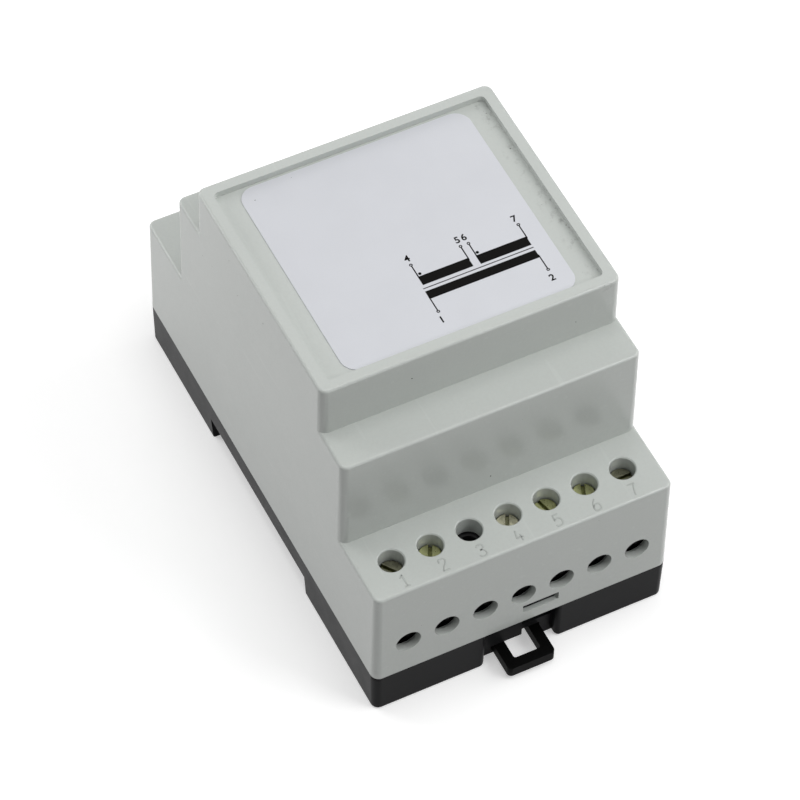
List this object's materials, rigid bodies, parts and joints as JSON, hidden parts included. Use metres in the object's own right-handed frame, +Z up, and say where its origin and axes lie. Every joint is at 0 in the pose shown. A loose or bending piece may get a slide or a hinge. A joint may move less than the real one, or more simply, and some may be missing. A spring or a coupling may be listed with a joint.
{
  "type": "din rail transformer",
  "caption": "Rail-mounting transformer in a stepped light grey case with a dark base, clamp terminals along one end and a spring-loaded rail latch.",
  "frame": {"origin": "middle of the rail seat: on the seat plane in the base's channel, on the rail's centre line and halfway across the case", "axes": "+Z up, away from the rail; +Y along the case, from the terminals towards the fixed hooks; +X along the rail, from terminal 1 towards terminal 7"},
  "size_m": [0.053, 0.0902, 0.0593],
  "materials": {
    "cover_plastic": "satin light grey, fine spark texture",
    "base_plastic": "satin dark grey",
    "latch_plastic": "satin black",
    "spring_steel": "bright drawn wire",
    "label_film": "satin silver-white film",
    "board_laminate": "matt laminate",
    "block_plastic": "satin black",
    "screw_steel": "yellow zinc",
    "cage_steel": "bright zinc",
    "contact_brass": "tinned brass",
    "core_steel": "dark silicon steel, varnished",
    "zinc_steel": "bright zinc",
    "bobbin_plastic": "natural nylon",
    "tinned_wire": "tinned",
    "copper_wire": "enamelled copper",
    "tape_film": "yellow polyester film",
    "fuse_case": "matt"
  },
  "bodies": {
    "case": {"cover": "cover_plastic", "base": "base_plastic", "latch_spring": "spring_steel", "label": "label_film", "circuit_board": "board_laminate", "terminal_block": "block_plastic", "core_e": "core_steel", "core_i": "core_steel", "core_screws": "zinc_steel", "bobbin": "bobbin_plastic", "bobbin_pins": "tinned_wire", "primary_winding": "copper_wire", "primary_tape": "tape_film", "secondary_winding_1": "copper_wire", "interlayer_tape": "tape_film", "secondary_winding_2": "copper_wire", "secondary_tape": "tape_film", "thermal_fuse": "fuse_case", "terminal_contact_1": "contact_brass", "terminal_contact_2": "contact_brass", "terminal_contact_4": "contact_brass", "terminal_contact_5": "contact_brass", "terminal_contact_6": "contact_brass", "terminal_contact_7": "contact_brass"},
    "latch": {"rail_latch": "latch_plastic"},
    "screw_1": {"terminal_screw_1": "screw_steel"},
    "cage_1": {"clamp_cage_1": "cage_steel"},
    "screw_2": {"terminal_screw_2": "screw_steel"},
    "cage_2": {"clamp_cage_2": "cage_steel"},
    "screw_4": {"terminal_screw_4": "screw_steel"},
    "cage_4": {"clamp_cage_4": "cage_steel"},
    "screw_5": {"terminal_screw_5": "screw_steel"},
    "cage_5": {"clamp_cage_5": "cage_steel"},
    "screw_6": {"terminal_screw_6": "screw_steel"},
    "cage_6": {"clamp_cage_6": "cage_steel"},
    "screw_7": {"terminal_screw_7": "screw_steel"},
    "cage_7": {"clamp_cage_7": "cage_steel"}
  },
  "joints": [
    {"name": "latch_slide", "type": "slide", "parent": "case", "child": "latch", "axis": [0, -1, 0], "range_m": [0, 0.0035], "stiffness_N_per_m": 1500, "springref_m": -0.0015, "deforming": ["latch_spring"]},
    {"name": "screw_turn_1", "type": "hinge", "parent": "case", "child": "screw_1", "pos_m": [-0.02049, -0.0372, 0.02145], "axis": [0, 0, -1], "range_deg": [0, 2880.5]},
    {"name": "cage_rise_1", "type": "slide", "parent": "case", "child": "cage_1", "axis": [0, 0, 1], "range_m": [0, 0.004]},
    {"name": "screw_turn_2", "type": "hinge", "parent": "case", "child": "screw_2", "pos_m": [-0.01366, -0.0372, 0.02145], "axis": [0, 0, -1], "range_deg": [0, 2880.5]},
    {"name": "cage_rise_2", "type": "slide", "parent": "case", "child": "cage_2", "axis": [0, 0, 1], "range_m": [0, 0.004]},
    {"name": "screw_turn_4", "type": "hinge", "parent": "case", "child": "screw_4", "pos_m": [0, -0.0372, 0.02145], "axis": [0, 0, -1], "range_deg": [0, 2880.5]},
    {"name": "cage_rise_4", "type": "slide", "parent": "case", "child": "cage_4", "axis": [0, 0, 1], "range_m": [0, 0.004]},
    {"name": "screw_turn_5", "type": "hinge", "parent": "case", "child": "screw_5", "pos_m": [0.00683, -0.0372, 0.02145], "axis": [0, 0, -1], "range_deg": [0, 2880.5]},
    {"name": "cage_rise_5", "type": "slide", "parent": "case", "child": "cage_5", "axis": [0, 0, 1], "range_m": [0, 0.004]},
    {"name": "screw_turn_6", "type": "hinge", "parent": "case", "child": "screw_6", "pos_m": [0.01366, -0.0372, 0.02145], "axis": [0, 0, -1], "range_deg": [0, 2880.5]},
    {"name": "cage_rise_6", "type": "slide", "parent": "case", "child": "cage_6", "axis": [0, 0, 1], "range_m": [0, 0.004]},
    {"name": "screw_turn_7", "type": "hinge", "parent": "case", "child": "screw_7", "pos_m": [0.02049, -0.0372, 0.02145], "axis": [0, 0, -1], "range_deg": [0, 2880.5]},
    {"name": "cage_rise_7", "type": "slide", "parent": "case", "child": "cage_7", "axis": [0, 0, 1], "range_m": [0, 0.004]}
  ],
  "couplings": [
    {"joint": "screw_turn_1", "follows": "cage_rise_1", "rad_per_m": 12566},
    {"joint": "screw_turn_2", "follows": "cage_rise_2", "rad_per_m": 12566},
    {"joint": "screw_turn_4", "follows": "cage_rise_4", "rad_per_m": 12566},
    {"joint": "screw_turn_5", "follows": "cage_rise_5", "rad_per_m": 12566},
    {"joint": "screw_turn_6", "follows": "cage_rise_6", "rad_per_m": 12566},
    {"joint": "screw_turn_7", "follows": "cage_rise_7", "rad_per_m": 12566}
  ]
}
